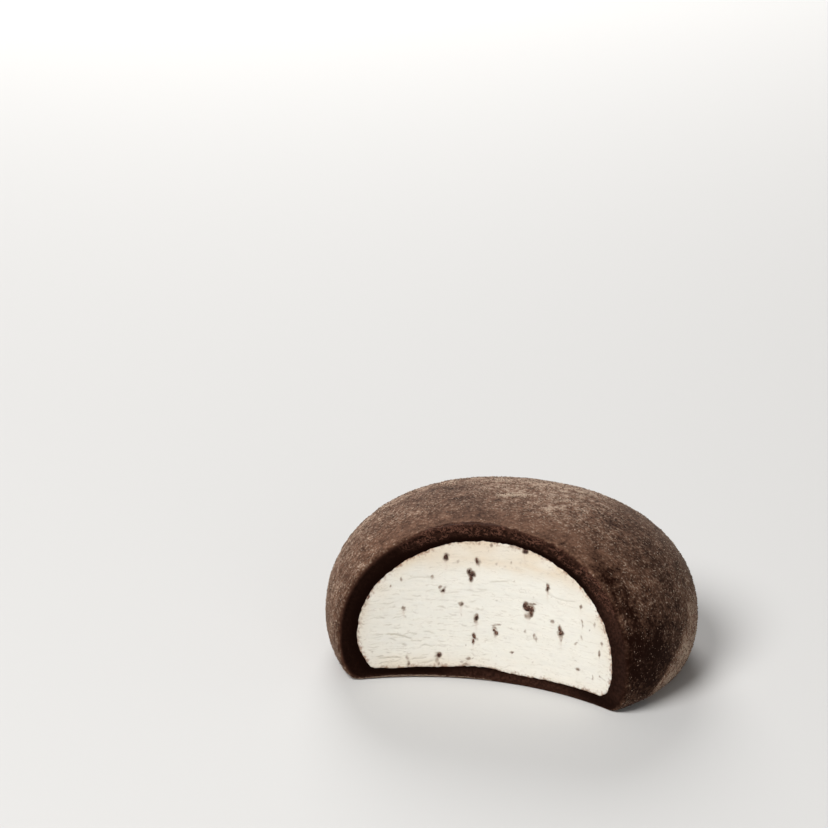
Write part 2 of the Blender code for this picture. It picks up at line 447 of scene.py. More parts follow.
def buildDoughGrid():
    turns = columnTurns()
    outerRim = rimPoint(ball, turns)
    innerRim = rimPoint(core, turns, dough["wallGap"])
    innerRim += np.stack([np.cos(turns), np.sin(turns)], axis=-1) * raggedRim(turns)[:, None]
    close = np.linspace(0.0, dough["rimShare"], dough["rimRows"], endpoint=False)
    rest = np.linspace(dough["rimShare"], 1.0, dough["skinRows"] - dough["rimRows"], endpoint=False)
    skin = bowlRows(ball, biteSurface(outerRim[:, 0], outerRim[:, 1]), np.concatenate([close, rest]))
    shares = np.linspace(0.0, 1.0, dough["bandRows"] + 1)[1:]
    spots = outerRim[:, None] * (1.0 - shares[None, :, None]) + innerRim[:, None] * shares[None, :, None]
    band = biteSurface(spots[..., 0], spots[..., 1])
    wallForm = dict(core)
    for key, sign in (("radius", 1.0), ("foot", 1.0), ("top", 1.0), ("base", -1.0)):
        wallForm[key] += sign * dough["wallGap"]
    wall = bowlRows(wallForm, band[:, -1], np.linspace(0.0, 1.0, dough["wallRows"] + 1)[1:-1])
    return np.concatenate([skin[:, ::-1], band, wall], axis=1)


def easeEdge(grid, rows):
    nearRim = np.exp(-(rows / dough["edgeReach"]) ** 2)[None, :, None]
    for step in range(dough["edgeRounds"]):
        eased = grid.copy()
        eased[:, 1:-1] = 0.25 * grid[:, :-2] + 0.5 * grid[:, 1:-1] + 0.25 * grid[:, 2:]
        grid = grid + (eased - grid) * nearRim
    return grid


def cutMarks(grid, rows):
    x, z = grid[..., 0] / mm, grid[..., 2] / mm
    rim = grid[:, dough["skinRows"]][:, None]
    rimX, rimZ = rim[..., 0] / mm, rim[..., 2] / mm
    # the cut starts along a ragged line on top and a soft one at the sides; shifts are in rows
    archShare = smooth(-14.0, -9.0, rimX) * smooth(20.0, 15.0, rimX) * smooth(8.0, 14.0, rimZ)
    tornBack = 0.0
    for across, spread, reach in dough["tornBack"]:
        tornBack = tornBack + reach * np.exp(-((rimX - across) / spread) ** 2)
    shift = archShare * layeredNoise((noiseB, noiseC), rim, dough["tearWaves"], tornBack)
    shift = shift - 3.0 * smooth(1.0, 0.2, rimZ)
    shift = shift + 2.0 * smooth(7.0, 3.0, rimZ) * smooth(-13.0, -16.0, rimX)
    atRight = smooth(12.0, 17.0, rimX)
    fade = 2.4 + (4.2 - 1.6 * atRight) * (1.0 - archShare)
    (waveSize, wave), (rippleSize, ripple) = dough["sideWaves"]
    shift = shift + (1.0 - archShare) * (wave * noiseB(rim, waveSize) + ripple * noiseC(grid, rippleSize))
    band = smooth(-fade, fade, rows[None] + shift) * (rows < dough["bandRows"] + 1)[None]
    outerHalf = smooth(0.80 * dough["bandRows"], 0.35 * dough["bandRows"], rows)[None]
    torn = archShare * outerHalf * band
    # a little light brown along the lower edge, the foot and the right side; along the lower edge it is
    # painted light from below
    litUnderEdge = smooth(2.2, 0.8, z) * smooth(-9.0, 0.0, x) * smooth(15.5, 8.0, x)
    footEdge = smooth(0.75, 0.25, z) * smooth(2.0, -4.0, x)
    sideEdge = smooth(12.0, 18.0, x) * smooth(0.5, 3.0, z) * (0.65 + 0.35 * smooth(8.0, 13.0, z))
    share = dough["cutBrown"]
    softCut = share["under"] * litUnderEdge + share["foot"] * footEdge + share["side"] * sideEdge
    softCut = (softCut + share["outer"] * outerHalf + share["torn"] * torn) * band
    edge = smooth(0.30, 0.75, band) * smooth(6.0, 1.0, rows + 0.5 * shift) * (1.0 - 0.9 * atRight)
    edge = edge * (1.0 - 0.45 * archShare)
    lip = 0.08 * np.exp(-((rows[None] + shift + 2.5) / 2.0) ** 2) * archShare
    return {"band": band, "torn": torn, "softCut": softCut, "edge": edge}, lip


def shapeSkin(grid, normals, onSkin, marks):
    lift = layeredNoise((noiseA, noiseB, noiseC), grid, dough["dimples"])
    lift = lift * onSkin * smooth(0.1, 1.2, grid[..., 2] / mm)
    shreds = 1.0 - 2.2 * np.abs(noiseB(grid, (1.1, 0.6, 0.55)))
    tear = marks["torn"] * dough["tear"] * (shreds - 0.4)
    lift = lift + marks["band"] * (dough["cutGrain"] * noiseC(grid, 0.9) + tear)
    grid = grid + normals * lift[..., None]
    grid[..., 2] = np.maximum(grid[..., 2], 0.0)
    return grid


def makeDough():
    grid = buildDoughGrid()
    rows = np.arange(grid.shape[1]) - float(dough["skinRows"])  # counted from the bitten edge
    grid = easeEdge(grid, rows)
    normals = gridNormals(grid)
    rimY, z = grid[:, dough["skinRows"], 1][:, None], grid[..., 2] / mm
    marks, lip = cutMarks(grid, rows)
    onSkin = smooth(1.0, -3.0, rows)[None] * np.ones_like(z)
    grid = shapeSkin(grid, normals, onSkin, marks)
    # the starch mark also carries the painted highlight along the outlines
    marks["starch"] = np.clip(starchCoverWithHighlight(grid) + lip, 0.0, 1.0) * smooth(4.0, 0.0, rows)[None]
    marks["pitted"] = np.clip(zoneSum(grid, pittedZones), 0.0, 1.0) * onSkin
    behind = (grid[..., 1] - rimY) / mm
    marks["rubbed"] = smooth(7.0, 2.0, behind) * smooth(16.0, 19.0, z) * onSkin  # smooth film behind the tear
    return grid, normals, marks


def gridFaces(columns, rows):
    faces = []
    backPole = columns * rows
    innerPole = backPole + 1
    for column in range(columns):
        here, after = column * rows, (column + 1) % columns * rows
        faces.append((backPole, here, after))
        faces.extend((here + row, here + row + 1, after + row + 1, after + row) for row in range(rows - 1))
        faces.append((innerPole, after + rows - 1, here + rows - 1))
    return faces


def doughMaterial():
    material, tree, shader = newMaterial("mochi dough", dough["finish"])
    coords = objectCoords(tree)
    markNames = ("starch", "band", "torn", "softCut", "edge", "pitted", "rubbed")
    starch, band, torn, softCut, edge, pitted, rubbed = (attributeNode(tree, name) for name in markNames)
    fine, middle, clusters, specks, pits = (
        noiseNode(tree, coords, *dough["mottling"][name])
        for name in ("fine", "middle", "clusters", "specks", "pits"))
    # starch with its mottling: bare dough, then a brown film, then powder in loose clusters
    lively = mathNode(tree, "MULTIPLY", rangeNode(tree, starch, 0.40, 0.70),
                      rangeNode(tree, rubbed, 0.0, 1.0, 1.0, 0.0))
    mottled = mathNode(tree, "MULTIPLY_ADD", fine, 0.7, mathNode(tree, "SUBTRACT", starch, 0.35))
    mottled = mathNode(tree, "MULTIPLY_ADD", mathNode(tree, "SUBTRACT", middle, 0.5),
                       mathNode(tree, "ADD", lively, 0.35), mottled)
    film = rangeNode(tree, mottled, 0.0, 0.78)
    grouped = mathNode(tree, "MULTIPLY_ADD", mathNode(tree, "SUBTRACT", clusters, 0.5),
                       mathNode(tree, "MULTIPLY", lively, 1.6), mottled)
    grouped = mathNode(tree, "MULTIPLY_ADD", rubbed, -0.25, grouped)
    dust = mathNode(tree, "MULTIPLY_ADD", specks, 2.1, mathNode(tree, "SUBTRACT", grouped, 1.05))
    powder = rangeNode(tree, dust, 0.38, 1.44)
    holes = mathNode(tree, "MULTIPLY", rangeNode(tree, pits, 0.555, 0.63), pitted)
    colour = mixColour(tree, film, dough["bare"], dough["film"])
    colour = mixColour(tree, powder, colour, dough["powder"])
    colour = mixColour(tree, mathNode(tree, "MULTIPLY", holes, 0.80), colour, dough["bare"])
    # the cut: dark and close, with pale shreds where it tore, partly real torn dough and partly a painted
    # highlight where the ridges catch the light
    drawn = addNode(tree, "ShaderNodeMapping", Scale=(0.60, 1.0, 1.0))
    tree.links.new(coords, drawn.inputs["Vector"])
    shreds = noiseNode(tree, drawn.outputs["Vector"], 0.42, 3.0, 0.65, 0.9)
    shreds = mathNode(tree, "ABSOLUTE", mathNode(tree, "SUBTRACT", shreds, 0.5))
    patches = noiseNode(tree, drawn.outputs["Vector"], 0.8, 1.0, 0.5)
    litRidges = mathNode(tree, "MULTIPLY", rangeNode(tree, shreds, 0.060, 0.0),
                      rangeNode(tree, patches, 0.40, 0.58, 0.15, 1.0))
    soft = mathNode(tree, "MULTIPLY", softCut, rangeNode(tree, fine, 0.30, 0.70, 0.5, 1.5))
    pale = mathNode(tree, "MULTIPLY_ADD", mathNode(tree, "MULTIPLY", litRidges, torn), 1.2, soft)
    cutColour = mixColour(tree, edge, dough["cut"], dough["cutEdge"])
    cutColour = mixColour(tree, pale, cutColour, dough["cutPale"])
    colour = mixColour(tree, band, colour, cutColour)
    tree.links.new(colour, shader.inputs["Base Color"])
    relief = mathNode(tree, "MULTIPLY_ADD", powder, 0.8, mathNode(tree, "ADD", fine, pale))
    relief = mathNode(tree, "SUBTRACT", relief, holes)
    addBump(tree, shader, relief, dough["bump"], dough["bumpDepth"])
    return material


# loose starch on the skin
grains = {
    "count": 20000, "seed": 41, "small": 0.035, "large": 0.105,  # half sizes in mm
    "squash": 0.80, "sunk": 0.45, "uneven": (0.75, 1.25),
    "evenly": 0.60, "clumps": [(1.8, 1.2), (0.7, 1.5)],  # size in mm, strength
    "deep": (0.110, 0.064, 0.044), "bright": (0.66, 0.52, 0.40), "fewBright": 2.8,
    "finish": {"Roughness": 0.9, "Specular IOR Level": 0.1},
    "lines": [  # rows of grains: first and last place in mm, count, scatter in mm, tone
        ((-2.6, 0.6, 22.6), (2.5, 2.2, 22.5), 330, (0.30, 0.40, 0.12), 0.76),
        ((-21.0, -15.0, 0.18), (1.0, -9.3, 0.18), 420, (0.06, 0.06, 0.06), 0.28),
    ],
}


def grainMaterial():
    material, tree, shader = newMaterial("starch", grains["finish"])
    colour = mixColour(tree, attributeNode(tree, "tone"), grains["deep"], grains["bright"])
    tree.links.new(colour, shader.inputs["Base Color"])
    return material


def scatterOnSkin(draw, skin, marks):
    across = np.linalg.norm(np.roll(skin, -1, axis=0) - skin, axis=-1)
    along = np.linalg.norm(np.gradient(skin, axis=1), axis=-1)
    clumps = layeredNoise((noiseA, noiseB), skin, grains["clumps"], grains["evenly"])
    clumps = np.clip(clumps, 0.06, None)
    weight = across * along * (0.18 + marks["starch"] ** 1.3) * clumps * (1.0 - 0.9 * marks["rubbed"])
    weight = weight * (1.0 - marks["band"]) * (skin[..., 2] > 0.35 * mm)
    chosen = draw.choice(weight.size, grains["count"], p=(weight / weight.sum()).ravel())
    columns, rows = np.unravel_index(chosen, weight.shape)
    rows = np.minimum(rows, skin.shape[1] - 2)
    sideways, forward = draw.random((2, grains["count"], 1))
    here, after, ahead = skin[columns, rows], skin[(columns + 1) % len(skin), rows], skin[columns, rows + 1]
    return here + (after - here) * sideways + (ahead - here) * forward, chosen


def scatterOnLines(draw, grid, normals):
    spots, facing = grid.reshape(-1, 3), normals.reshape(-1, 3)
    placed, chosen, tones = [], [], []
    for first, last, count, scatter, tone in grains["lines"]:
        share = draw.triangular(0.0, 0.5, 1.0, (count, 1))
        wanted = np.array(first) * (1.0 - share) + np.array(last) * share
        wanted = wanted + draw.normal(size=(count, 3)) * scatter
        for place in wanted * mm:
            nearest = ((spots - place) ** 2).sum(axis=1).argmin()
            placed.append(place - facing[nearest] * ((place - spots[nearest]) @ facing[nearest]))
            chosen.append(nearest)
        tones.append(tone * draw.uniform(0.75, 1.15, count))
    return np.array(placed), np.array(chosen), np.concatenate(tones)


def makeGrains(grid, normals, marks):
    draw = np.random.default_rng(grains["seed"])
    end = dough["skinRows"] - 4
    skin, skinMarks = grid[:, :end], {name: values[:, :end] for name, values in marks.items()}
    spots, chosen = scatterOnSkin(draw, skin, skinMarks)
    lineSpots, lineChosen, lineTone = scatterOnLines(draw, grid, normals)
    # most grains are dull, a few bright, and the brighter ones lie where there is more starch, so also in the
    # painted highlight along the outlines
    starch = np.clip(1.4 * skinMarks["starch"].ravel()[chosen], 0.0, 1.0)
    tone = draw.random(len(spots)) ** grains["fewBright"] * (0.25 + 0.75 * starch)
    tone = np.concatenate([tone, lineTone])
    facing = np.concatenate([normals[:, :end].reshape(-1, 3)[chosen], normals.reshape(-1, 3)[lineChosen]])
    spots = np.concatenate([spots, lineSpots])
    count = len(spots)
    size = np.exp(draw.uniform(math.log(grains["small"]), math.log(grains["large"]), count)) * mm
    spots = spots + facing * (size * (grains["squash"] - grains["sunk"]))[:, None]
    side = np.cross(facing, draw.normal(size=facing.shape))
    side /= np.linalg.norm(side, axis=1)[:, None]
    other = np.cross(facing, side)
    out = grains["squash"] * facing
    tips = np.stack([side, -side, other, -other, out, -out], axis=1)
    tips = tips * draw.uniform(*grains["uneven"], (count, 6, 1))
    points = (spots[:, None] + tips * size[:, None, None]).reshape(-1, 3)
    points[:, 2] = np.maximum(points[:, 2], 0.02 * mm)
    corners = [(0, 2, 4), (2, 1, 4), (1, 3, 4), (3, 0, 4), (2, 0, 5), (1, 2, 5), (3, 1, 5), (0, 3, 5)]
    faces = [tuple(6 * index + corner for corner in face) for index in range(count) for face in corners]
    piece = meshObject("starchGrains", points, faces, grainMaterial())
    piece.data.shade_flat()
    paintValue(piece, "tone", np.repeat(tone, 6))
    return piece


# biscuit crumbs of the bitten face, bit by bit
crumbs = {
    "bits": [  # across, height, width and tallness in mm, darkness, tilt in degrees
        # the large one right of the middle, with its dash
        (4.58, 11.52, 0.62, 0.95, 0.66, -10), (5.48, 11.22, 0.78, 0.86, 0.6, 10),
        (4.96, 11.22, 1.15, 0.78, 0.72, -8), (5.46, 10.62, 0.5, 0.85, 0.6, 5),
        (4.74, 12.04, 0.6, 0.24, 0.33, -5), (5.64, 11.93, 1.08, 0.17, 0.66, 8),
        (5.02, 10.12, 0.85, 0.78, 0.2, 30),
        # the other large ones
        (-3.12, 15.4, 0.46, 0.7, 1.0, 0), (-2.8, 15.02, 0.8, 0.86, 0.95, 10),
        (-2.9, 14.44, 0.52, 0.8, 0.64, 0), (9.66, 9.3, 0.42, 0.85, 0.52, 0),
        (9.82, 8.7, 0.76, 0.68, 0.62, 20), (9.88, 8.1, 0.52, 0.88, 0.33, 0),
        (0.4, 7.44, 0.46, 0.72, 0.5, 25), (0.62, 7.06, 0.48, 0.66, 0.46, 15),
        (0.74, 8.25, 1.05, 0.15, 0.62, 12), (0.48, 6.65, 0.36, 0.55, 0.2, 0),
        (-2.36, 6.22, 0.42, 0.85, 0.44, 10), (-2.46, 5.55, 0.36, 0.75, 0.38, -5),
        (-1.95, 5.85, 0.36, 0.36, 0.35, 40), (-2.1, 8.95, 0.55, 0.75, 0.95, 0),
        (-2.16, 8.38, 0.42, 0.45, 0.3, 0), (-6.25, 17.2, 0.58, 0.9, 0.75, -10),
        (-2.15, 16.9, 0.38, 0.76, 0.55, 0), (-1.82, 16.75, 0.32, 0.7, 0.25, 0),
        (-6.95, 12.98, 0.36, 0.4, 0.55, 0), (-6.62, 12.45, 0.58, 0.36, 0.8, 0),
        (-6.38, 12.88, 0.25, 0.36, 0.45, 0), (-11.29, 2.85, 0.32, 0.55, 0.3, 10),
        (-11.09, 2.05, 0.38, 0.5, 0.65, 0), (-7.1, 3.25, 0.62, 0.7, 0.9, 0),
        (-7.32, 2.45, 0.38, 0.6, 0.25, 0), (-7.05, 2.05, 0.3, 0.5, 0.35, 0),
        (5.95, 7.45, 0.2, 0.7, 0.5, 0), (6.25, 7.1, 0.22, 0.6, 0.55, 0),
        (7.76, 14.65, 0.38, 0.8, 0.85, 0), (-11.8, 9.85, 0.4, 0.46, 0.85, 10),
        (8.58, 10.03, 0.45, 0.4, 0.32, -40), (4.5, 19.15, 0.7, 0.5, 0.9, 0),
        (-4.18, 10.75, 0.42, 0.44, 1.0, 0), (-3.08, 3.0, 0.54, 0.35, 0.6, 0),
        (-3.4, 2.1, 0.55, 0.32, 0.7, 0), (12.54, 4.34, 0.62, 0.27, 0.65, 0),
        (12.81, 13.2, 0.3, 0.5, 0.75, 0),
        # small and faint ones
        (13.14, 10.85, 0.2, 0.9, 0.3, 10), (15.08, 11.15, 0.28, 0.6, 0.15, 0),
        (14.29, 10.32, 0.2, 0.3, 0.3, 0), (13.06, 8.86, 0.28, 0.6, 0.4, 20),
        (12.17, 7.85, 0.5, 0.24, 0.75, 40), (16.02, 7.45, 0.26, 0.7, 0.75, 0),
        (16.42, 8.98, 0.34, 0.5, 0.35, 0), (15.02, 3.85, 0.2, 0.55, 0.5, 0),
        (16.25, 4.28, 0.36, 0.18, 0.5, -20), (2.8, 4.64, 0.46, 0.26, 0.85, 10),
        (2.55, 7.96, 0.45, 0.2, 0.3, 0), (4.65, 7.9, 0.26, 0.45, 0.25, 0),
        (7.92, 17.55, 0.28, 0.24, 0.3, 0), (2.49, 17.22, 0.25, 0.35, 0.45, 0),
        (-4.73, 16.62, 0.28, 0.28, 0.3, 0), (-12.14, 14.1, 0.25, 0.5, 0.45, 0),
        (-8.03, 14.37, 0.3, 0.45, 0.62, 0), (-3.97, 2.42, 0.34, 0.28, 0.5, 0),
        (-15.97, 3.94, 0.28, 0.28, 0.4, 0), (-4.15, 9.2, 0.22, 0.34, 0.3, 0),
        (0.67, 11.64, 0.3, 0.2, 0.3, 0), (5.8, 12.9, 0.2, 0.2, 0.25, 0), (12.13, 5.42, 0.4, 0.14, 0.3, 0),
        (0.48, 16.81, 0.3, 0.3, 0.1, 0), (1.62, 16.6, 0.34, 0.26, 0.12, 0),
        (3.8, 17.44, 0.36, 0.34, 0.1, 0), (1.29, 16.21, 0.3, 0.26, 0.08, 0),
        # at the rim
        (-16.5, 11.8, 0.45, 0.7, 0.35, -25), (-16.8, 10.85, 0.35, 0.5, 0.3, -20),
        (-0.24, 19.32, 0.34, 0.5, 0.5, 0), (2.55, 19.52, 0.45, 0.36, 0.45, 0),
    ],
    "specks": 34, "speckSize": (0.09, 0.20), "speckStretch": (0.8, 1.9), "speckDark": (0.0, 0.7),
    "fromRim": 0.6, "seed": 3,
    "meshFrom": (0.33, 0.19),  # darkness and square mm from which a bit is a lump and not only a stain
    "proud": 0.05, "lumpiness": [(0.9, 0.70), (0.45, 0.45)],  # in mm; size in mm, amount
    "dark": (0.040, 0.0165, 0.0105), "brown": (0.150, 0.072, 0.048), "pale": (0.46, 0.335, 0.255),
    "finish": {"Roughness": 0.7, "Specular IOR Level": 0.25}, "bump": 0.6, "bumpDepth": 0.04 * mm,
}

# longer cracks of the bitten face: points (across, height) in mm, darkness, which sets both the groove's
# depth and the painted shade in the crack
cracks = [
    ([(7.5, 13.9), (9.0, 13.45), (10.3, 13.4), (12.0, 13.6)], 0.55),
    ([(-14.2, 6.3), (-13.0, 6.25), (-11.8, 5.95), (-10.6, 5.5)], 1.0),
    ([(-11.4, 14.0), (-10.0, 14.3), (-8.2, 14.2)], 0.5),
    ([(-0.4, 14.15), (0.7, 14.37), (2.2, 14.6)], 0.7),
    ([(-2.1, 13.05), (-1.6, 12.95), (-0.6, 12.98)], 0.6),
    ([(-9.6, 4.5), (-9.0, 4.7), (-7.8, 4.5)], 0.8),
    ([(-15.2, 2.9), (-13.6, 2.95), (-12.0, 2.9)], 0.8),
    ([(-9.5, 2.1), (-8.7, 2.15), (-7.7, 2.5)], 0.8),
    ([(-9.2, 6.6), (-8.4, 6.6), (-7.6, 6.3)], 0.7),
    ([(16.4, 4.2), (17.3, 3.95)], 0.8),
]

# ice cream core, closed: the bitten face is fine, the hidden back coarse
iceCream = {
    "columns": 400, "rows": 165, "backRows": 9, "crowding": 0.45,  # columns lie closer at the sides
    "overlap": 0.07 * mm, "rimDip": 0.11 * mm, "rimRound": 0.25 * mm,
    # depths, widths and lengths in mm
    "layers": [(0.66, 0.030), (0.41, 0.016)],  # spacing and step of the dragged layers
    "layerBends": [((5.0, 1.8, 1.0), 1.1), ((1.6, 0.8, 1.0), 0.5), ((0.7, 0.5, 1.0), 0.25)],  # size, spacings
    "crackDepth": 0.05, "crackWidth": 0.10, "waviness": 0.040, "grain": 0.010,
    "pitDepth": 0.07, "pitRoom": 0.10, "pitSizes": (0.15, 0.25),  # a crumb of so many square mm has a pit
    "smearLength": 2.4, "smearWidth": 0.08,
    "stainAndShadeReach": 0.46, "rimShadeReach": 1.5,
    "tanAndShadeBand": {"height": 16.9, "half": 0.8, "left": (-7.5, -3.5), "right": (10.5, 6.0)},
    # along the rim the warm colour is painted shade; in the top band and at the crown it is partly a tan
    # tint, partly painted shade under the overhang
    "warmth": {"band": 0.40, "rimShade": 0.80, "crown": 0.40, "corner": 0.36},  # share of the warm colour
    "colour": (0.775, 0.745, 0.668), "cool": (0.750, 0.725, 0.653), "tanAndShade": (0.700, 0.595, 0.460),
    "stainAndShade": (0.30, 0.165, 0.105), "halo": (0.285, 0.208, 0.155), "speck": (0.080, 0.047, 0.032),
    "smear": (0.47, 0.33, 0.24), "crackShade": (0.38, 0.32, 0.245),
    "finish": {
        "Roughness": 0.48, "Specular IOR Level": 0.35, "Subsurface Weight": 0.20,
        "Subsurface Radius": (1.0, 0.85, 0.65), "Subsurface Scale": 0.7 * mm,
    },
    "bump": 0.4, "bumpDepth": 0.03 * mm,
}


def allCrumbs(rimTurns, rimReach):
    draw = np.random.default_rng(crumbs["seed"])
    found = list(crumbs["bits"])
    for index in range(crumbs["specks"]):
        turn, share = draw.uniform(-math.pi, math.pi), math.sqrt(draw.random())
        reach = (np.interp(turn, rimTurns, rimReach) / mm - crumbs["fromRim"]) * share
        width = draw.uniform(*crumbs["speckSize"])
        across, height = faceHeart / mm + reach * np.array((math.cos(turn), math.sin(turn)))
        tall = width * draw.uniform(*crumbs["speckStretch"])
        found.append((across, height, width, tall, draw.uniform(*crumbs["speckDark"]), 0))
    return np.array(found)


def faceRim():
    rimTurns = np.linspace(-math.pi, math.pi, search["fineRimSteps"])
    spots = rimPoint(core, rimTurns, dough["wallGap"]) - faceHeart
    return rimTurns, np.linalg.norm(spots, axis=-1) + raggedRim(rimTurns) + iceCream["overlap"]


def faceGrid(rimTurns, rimReach):
    def isInside(spots):
        away = spots - faceHeart
        reach = np.interp(np.arctan2(away[..., 1], away[..., 0]), rimTurns, rimReach)
        return np.linalg.norm(away, axis=-1) < reach

    edge = faceHeart + np.stack([np.cos(rimTurns), np.sin(rimTurns)], axis=-1) * rimReach[:, None]
    left, right = edge[edge[:, 0].argmin()], edge[edge[:, 0].argmax()]
    share = np.linspace(-1.0, 1.0, iceCream["columns"])
    bend = iceCream["crowding"] * math.pi
    share = 0.5 + 0.4997 * np.sin(bend * share) / math.sin(bend)  # just short of the rim's ends
    across = left[0] + (right[0] - left[0]) * share
    middle = np.stack([across, left[1] + (right[1] - left[1]) * share], axis=-1)
    ends = []
    for sign in (-1.0, 1.0):
        heading = np.stack([0.0 * across, sign + 0.0 * across], axis=-1)
        ends.append(middle[:, 1] + sign * reachOf(isInside, middle, heading, search["upFace"]))
    climb = np.linspace(0.0, 1.0, iceCream["rows"])
    height = ends[0][:, None] * (1.0 - climb) + ends[1][:, None] * climb
    return across[:, None] + 0.0 * climb, height, edge


def rimDistance(across, height, edge):
    finder = KDTree(len(edge))
    for index, spot in enumerate(edge):
        finder.insert((spot[0], spot[1], 0.0), index)
    finder.balance()
    gaps = [finder.find((x, z, 0.0))[2] for x, z in zip(across.ravel(), height.ravel())]
    return np.array(gaps).reshape(across.shape)


def draggedLayers(flat):
    # thin layers pulled sideways by the bite: each leans out and steps back, in broken lengths
    relief, lines = 0.0, 0.0
    for index, (spacing, step) in enumerate(iceCream["layers"]):
        first, second = (noiseA, noiseB) if index == 0 else (noiseC, noiseA)
        phase = flat[..., 1] / (spacing * mm)
        phase = layeredNoise((first, second, first), flat, iceCream["layerBends"], phase)
        part = phase - np.floor(phase)
        broken = smooth(0.05, 0.45, second(flat + 7.0 * mm * index, (1.5, 0.5, 1.0)))
        relief = relief - step * part * (0.35 + 0.65 * broken)
        # the line at each step is later painted darker with the crack colour: painted shade in the step
        line = broken * smooth(0.20, 0.0, np.minimum(part, 1.0 - part)) * (1.0 - 0.35 * index)
        lines = np.maximum(lines, line)
    return relief, lines


def longCracks(x, z):
    # thin and broken, they fade out at both ends
    total = 0.0
    for spots, dark in cracks:
        along, climb = np.array(spots).T
        gap = z - np.interp(x, along, climb) - 0.05 * noiseA(np.stack([x, z, 0.0 * x], axis=-1) * mm, 0.7)
        ends = smooth(along[0] - 0.2, along[0] + 0.4, x) * smooth(along[-1] + 0.2, along[-1] - 0.4, x)
        total = np.maximum(total, dark * ends * np.exp(-(gap / iceCream["crackWidth"]) ** 2))
    return total


def crumbMarks(x, z, lumps):
    pits, halo, smear = 0.0, 0.0, 0.0
    room, (small, large) = iceCream["pitRoom"], iceCream["pitSizes"]
    for spotX, spotZ, width, tall, dark, tilt in lumps:
        weight = min(1.0, width * tall / large)
        depth = weight * smooth(small, large, width * tall)
        turn = math.radians(tilt)
        aside = (x - spotX) * math.cos(turn) + (z - spotZ) * math.sin(turn)
        along = (z - spotZ) * math.cos(turn) - (x - spotX) * math.sin(turn)
        away = np.hypot(aside / (0.5 * width + room), along / (0.5 * tall + room))
        pits = np.maximum(pits, smooth(1.25, 0.70, away) * depth)
        gap = (np.hypot(aside / (0.5 * width), along / (0.5 * tall)) - 1.0) * 0.5 * math.sqrt(width * tall)
        ring = smooth(0.10 + 0.22 * weight, -0.10, gap) * (0.60 + 0.40 * weight) * (0.30 + 0.70 * dark)
        halo = np.maximum(halo, ring)
        below, dragEnd = spotZ - z, 0.5 * tall + iceCream["smearLength"] * weight
        drag = smooth(-0.2, 0.3, below) * smooth(dragEnd, 0.3 * tall, below)
        drag = drag * np.exp(-((x - spotX) / (iceCream["smearWidth"] + 0.20 * width)) ** 2)
        # some smear more than others
        smear = np.maximum(smear, drag * dark * weight * (0.6 + 0.4 * math.sin(9.0 * spotX)))
    return pits, halo, smear


def faceMarks(flat, rimGap, lumps):
    x, z = flat[..., 0] / mm, flat[..., 1] / mm
    # ragged outlines for the crumbs
    bentX = x + 0.13 * noiseB(flat, 0.50) + 0.05 * noiseA(flat, 0.25)
    bentZ = z + 0.13 * noiseC(flat, 0.50) + 0.05 * noiseB(flat + mm, 0.25)
    pits, halo, smear = crumbMarks(bentX, bentZ, lumps)
    smear = np.clip(smear * (0.5 + 0.8 * noiseB(flat, (0.35, 2.2, 1.0))), 0.0, 1.0)
    patches = smooth(-0.35, 0.55, noiseC(flat, 1.3) + 0.7 * noiseA(flat, 0.5))
    # a brown stain along the rim, partly real dough mixed into the ice cream and partly painted shade under
    # the dough's edge
    stainAndShade = np.exp(-rimGap / (iceCream["stainAndShadeReach"] * mm)) * (0.45 + 0.55 * patches)
    halo = np.clip(halo * (1.0 + 0.9 * noiseA(flat, 0.55)), 0.0, 1.0)
    # warmer in a band near the top, along the rim, at the crown and in the lower left corner; along the rim
    # this is painted shade, and in the top band and at the crown partly a tan tint, partly painted shade
    # under the dough's overhang
    place, share = iceCream["tanAndShadeBand"], iceCream["warmth"]
    band = np.exp(-((z - place["height"] - 0.5 * noiseA(flat, 4.0)) / place["half"]) ** 2)
    band = band * smooth(*place["left"], x) * smooth(*place["right"], x)
    band = band * (0.75 + 0.9 * noiseB(flat, (2.2, 0.9, 1.0)))
    rimShade = np.exp(-rimGap / (iceCream["rimShadeReach"] * mm)) * smooth(-0.8, 0.4, noiseB(flat, 3.0))
    rimShade = rimShade * (0.4 + 0.6 * smooth(4.0, 11.0, z))
    crown = smooth(14.5, 17.2, z + 0.5 * noiseA(flat, 2.2))
    corner = smooth(4.5, 1.5, z) * smooth(2.0, -8.0, x)
    tanAndShade = share["band"] * band + share["rimShade"] * rimShade + share["crown"] * crown + share["corner"] * corner
    return pits, {"smear": smear, "stainAndShade": stainAndShade, "halo": halo, "tanAndShade": np.clip(tanAndShade, 0.0, 1.0)}


def closeBehind(face):
    # from the rim of the face back over the hidden side to one pole
    columns, rows = face.shape[:2]
    index = np.arange(columns * rows).reshape(columns, rows)
    faces = [(index[c, r], index[c + 1, r], index[c + 1, r + 1], index[c, r + 1])
             for c in range(columns - 1) for r in range(rows - 1)]
    loop = np.concatenate([index[:, 0], index[-1, 1:], index[-2::-1, -1], index[0, -2:0:-1]])
    points = face.reshape(-1, 3)
    back = bowlRows(core, points[loop], np.linspace(0.0, 1.0, iceCream["backRows"] + 1)[1:-1])
    backRows = back.shape[1]
    behind = len(points) + np.arange(len(loop) * backRows).reshape(-1, backRows)
    ring = np.concatenate([loop[:, None], behind], axis=1)
    pole = len(points) + len(loop) * backRows
    for here, after in zip(ring, np.roll(ring, -1, axis=0)):
        faces.extend((after[row], here[row], here[row + 1], after[row + 1]) for row in range(backRows))
        faces.append((after[-1], here[-1], pole))
    points = np.concatenate([points, back.reshape(-1, 3), back[:, -1].mean(axis=0)[None]])
    return points, [tuple(int(corner) for corner in face) for face in faces]


